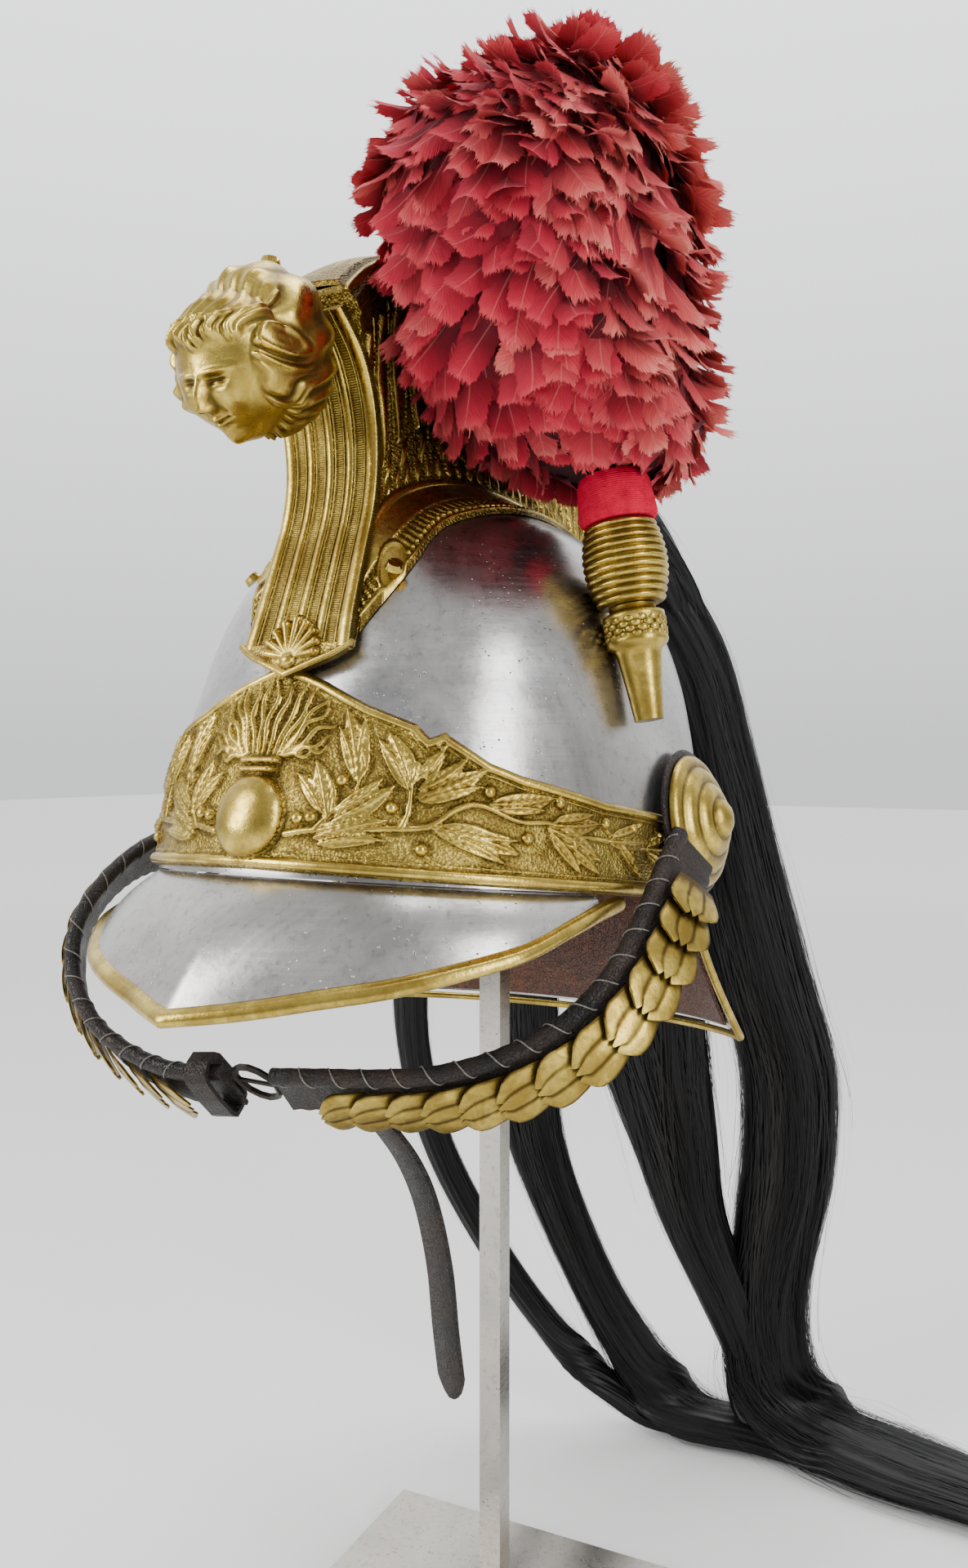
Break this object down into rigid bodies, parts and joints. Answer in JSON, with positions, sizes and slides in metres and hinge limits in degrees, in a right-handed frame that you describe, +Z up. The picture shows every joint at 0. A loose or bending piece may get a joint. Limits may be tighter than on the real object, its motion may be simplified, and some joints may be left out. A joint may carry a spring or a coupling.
{
  "type": "dragoon helmet on a stand",
  "caption": "Cavalry parade helmet with steel skull and visor, brass band and crest, side plume, horsehair mane and scaled chin strap, resting on a plain square post stand.",
  "frame": {"origin": "on the floor, at the middle of the underside of the square base plate, under the post", "axes": "+Z up, -Y where the helmet faces, +X the wearer's left, where the plume stands"},
  "size_m": [0.4116, 0.5034, 0.6677],
  "materials": {
    "skull_steel": "satin polished with fine scratches, pits and a brown stain",
    "visor_steel": "satin polished with pits",
    "cast_brass": "aged, brown in its hollows and worn bright on its high places",
    "stand_steel": "brushed, slightly brown",
    "dark_iron": "blackened",
    "black_leather": "cracked and worn to brown on its edges",
    "brown_leather": "smooth, worn",
    "red_wool": "wound wool thread",
    "feather": "crimson feathers fading to pale peach at their tips",
    "horsehair": "glossy black hair"
  },
  "bodies": {
    "root": {"stand_base": "stand_steel", "stand_post": "stand_steel", "stand_cradle": "stand_steel", "skull_shell": "skull_steel", "visor": "visor_steel", "visor_rim": "cast_brass", "neck_guard": "visor_steel", "neck_guard_rim": "cast_brass", "leather_lining": "brown_leather", "headband": "cast_brass", "crest_body": "cast_brass", "crest_front_plate": "cast_brass", "crest_head": "cast_brass", "crest_top_screw": "cast_brass", "lug_screw_left": "cast_brass", "lug_screw_right": "cast_brass", "plume_socket": "cast_brass", "plume_olive": "cast_brass", "plume_wrap": "red_wool", "plume_feathers": "feather", "mane": "horsehair", "rosette_left": "cast_brass", "rosette_pad_left": "black_leather", "rosette_right": "cast_brass", "rosette_pad_right": "black_leather", "strap_left": "black_leather", "strap_right": "black_leather", "strap_tail": "black_leather", "strap_keeper": "black_leather", "buckle": "dark_iron", "scale_left_01": "cast_brass", "scale_left_02": "cast_brass", "scale_left_03": "cast_brass", "scale_left_04": "cast_brass", "scale_left_05": "cast_brass", "scale_left_06": "cast_brass", "scale_left_07": "cast_brass", "scale_left_08": "cast_brass", "scale_left_09": "cast_brass", "scale_left_10": "cast_brass", "scale_left_11": "cast_brass", "scale_left_12": "cast_brass", "scale_left_13": "cast_brass", "scale_right_01": "cast_brass", "scale_right_02": "cast_brass", "scale_right_03": "cast_brass", "scale_right_04": "cast_brass", "scale_right_05": "cast_brass", "scale_right_06": "cast_brass", "scale_right_07": "cast_brass", "scale_right_08": "cast_brass", "scale_right_09": "cast_brass", "scale_right_10": "cast_brass", "scale_right_11": "cast_brass", "scale_right_12": "cast_brass", "scale_right_13": "cast_brass", "scale_right_14": "cast_brass", "scale_right_15": "cast_brass"}
  },
  "joints": []
}
